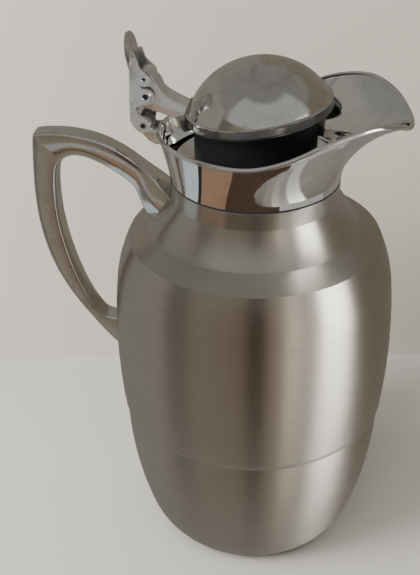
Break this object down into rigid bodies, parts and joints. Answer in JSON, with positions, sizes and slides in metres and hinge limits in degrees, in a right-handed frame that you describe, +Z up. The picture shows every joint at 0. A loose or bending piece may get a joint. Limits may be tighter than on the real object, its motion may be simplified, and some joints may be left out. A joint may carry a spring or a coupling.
{
  "type": "insulated vacuum jug",
  "caption": "Insulated jug: brushed steel body over a glass vacuum flask, bright pouring collar with a wide lip, domed lid on a hinged stopper lifted by a thumb lever, loop handle.",
  "frame": {"origin": "on the jug's axis, in the plane of the rubber foot ring that it stands on", "axes": "+Z up along the jug's axis, +X towards the pouring lip, -X towards the handle and hinge, Y along the hinge pin"},
  "size_m": [0.1794, 0.14, 0.27],
  "materials": {
    "brushed_steel": "fine brushing round the body",
    "mirror_chrome": "mirror polished",
    "handle_chrome": "polished casting",
    "dome_chrome": "polished, lightly smudged",
    "lever_chrome": "polished pressing",
    "plain_steel": "plain turned steel",
    "spring_steel": "drawn spring wire",
    "black_plastic": "moulded, satin",
    "foam": "expanded insulating foam",
    "silvered_glass": "silvered on the vacuum side",
    "seal_rubber": "black moulded",
    "foot_rubber": "black moulded",
    "silicone": "soft translucent grey"
  },
  "bodies": {
    "root": {"body_shell": "brushed_steel", "base_shell": "brushed_steel", "foot_ring": "foot_rubber", "base_plug": "black_plastic", "base_thread_ring": "plain_steel", "flask_cushion": "seal_rubber", "outer_glass": "silvered_glass", "flask_base": "silvered_glass", "flask_wall": "silvered_glass", "flask_shoulder": "silvered_glass", "flask_neck": "silvered_glass", "neck_band": "plain_steel", "neck_seal": "seal_rubber", "collar_gasket": "seal_rubber", "mouth_seal": "seal_rubber", "spout_collar": "mirror_chrome", "pouring_funnel": "mirror_chrome", "hinge_bracket": "mirror_chrome", "lid_spring": "spring_steel", "handle": "handle_chrome", "upper_handle_washer": "plain_steel", "upper_handle_screw": "plain_steel", "lower_handle_washer": "plain_steel", "lower_handle_screw": "plain_steel"},
    "lid": {"lid_dome": "dome_chrome", "lid_skirt": "dome_chrome", "lid_plate": "black_plastic", "lid_post": "plain_steel", "stopper_screw": "plain_steel", "stopper_body": "black_plastic", "stopper_core": "foam", "stopper_seal": "silicone", "hinge_pin": "plain_steel", "lever_rivet": "plain_steel", "lever_top_pin": "plain_steel", "lid_arm": "lever_chrome", "thumb_lever": "lever_chrome"}
  },
  "joints": [
    {"name": "lid_hinge", "type": "hinge", "parent": "root", "child": "lid", "pos_m": [-0.0512, 0, 0.2289], "axis": [0, -1, 0], "range_deg": [0, 75], "stiffness_Nm_per_rad": 0.03, "springref_deg": -28.65, "deforming": ["lid_spring"]}
  ]
}
